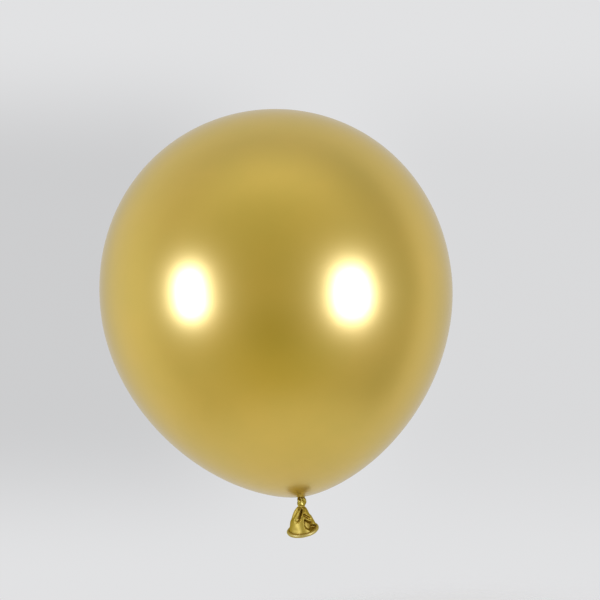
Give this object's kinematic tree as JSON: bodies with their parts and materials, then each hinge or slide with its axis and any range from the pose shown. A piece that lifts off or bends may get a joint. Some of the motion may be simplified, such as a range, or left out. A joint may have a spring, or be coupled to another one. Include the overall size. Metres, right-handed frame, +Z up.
{
  "type": "latex balloon",
  "caption": "Round latex balloon, blown up and closed with an overhand knot in its own neck, with a short pleated tail and a rolled lip.",
  "frame": {"origin": "the tie point: the middle of the pinched neck between the inflated bulb and the knot", "axes": "+Z up the bulb's axis from the neck to the crown, -Y the front, +X to the right seen from the front"},
  "size_m": [0.28, 0.28, 0.3407],
  "materials": {
    "chrome_latex": "stretched mirror-metallic gold latex",
    "gathered_latex": "gathered, darker metallic gold latex",
    "tail_latex": "unstretched, satin metallic gold latex with pleats",
    "rolled_latex": "rolled lip of metallic gold latex"
  },
  "bodies": {
    "envelope": {"envelope": "chrome_latex"},
    "collar": {"neck_gather": "gathered_latex"},
    "stem": {"neck_stem": "gathered_latex"},
    "knot": {"knot_core": "gathered_latex", "knot_wrap": "gathered_latex"},
    "throat": {"tail_throat": "gathered_latex"},
    "tail": {"tail_skirt": "tail_latex", "lip_bead": "rolled_latex"}
  },
  "joints": [
    {"name": "neck_twist", "type": "hinge", "parent": "envelope", "child": "collar", "pos_m": [0, 0, 0], "axis": [0, 0, 1], "range_deg": [-90, 90], "stiffness_Nm_per_rad": 0.0001},
    {"name": "neck_side_bend", "type": "hinge", "parent": "collar", "child": "stem", "pos_m": [0, 0, 0], "axis": [0, 1, 0], "range_deg": [-22, 22], "stiffness_Nm_per_rad": 0.0001},
    {"name": "neck_front_bend", "type": "hinge", "parent": "stem", "child": "knot", "pos_m": [0, 0, 0], "axis": [1, 0, 0], "range_deg": [-22, 22], "stiffness_Nm_per_rad": 0.0001},
    {"name": "tail_side_bend", "type": "hinge", "parent": "knot", "child": "throat", "pos_m": [-0.00099, 0, -0.00754], "axis": [0, 1, 0], "range_deg": [-28, 28], "stiffness_Nm_per_rad": 0.00005},
    {"name": "tail_front_bend", "type": "hinge", "parent": "throat", "child": "tail", "pos_m": [-0.00099, 0, -0.00754], "axis": [0.9914, 0, -0.1305], "range_deg": [-28, 28], "stiffness_Nm_per_rad": 0.00005}
  ]
}
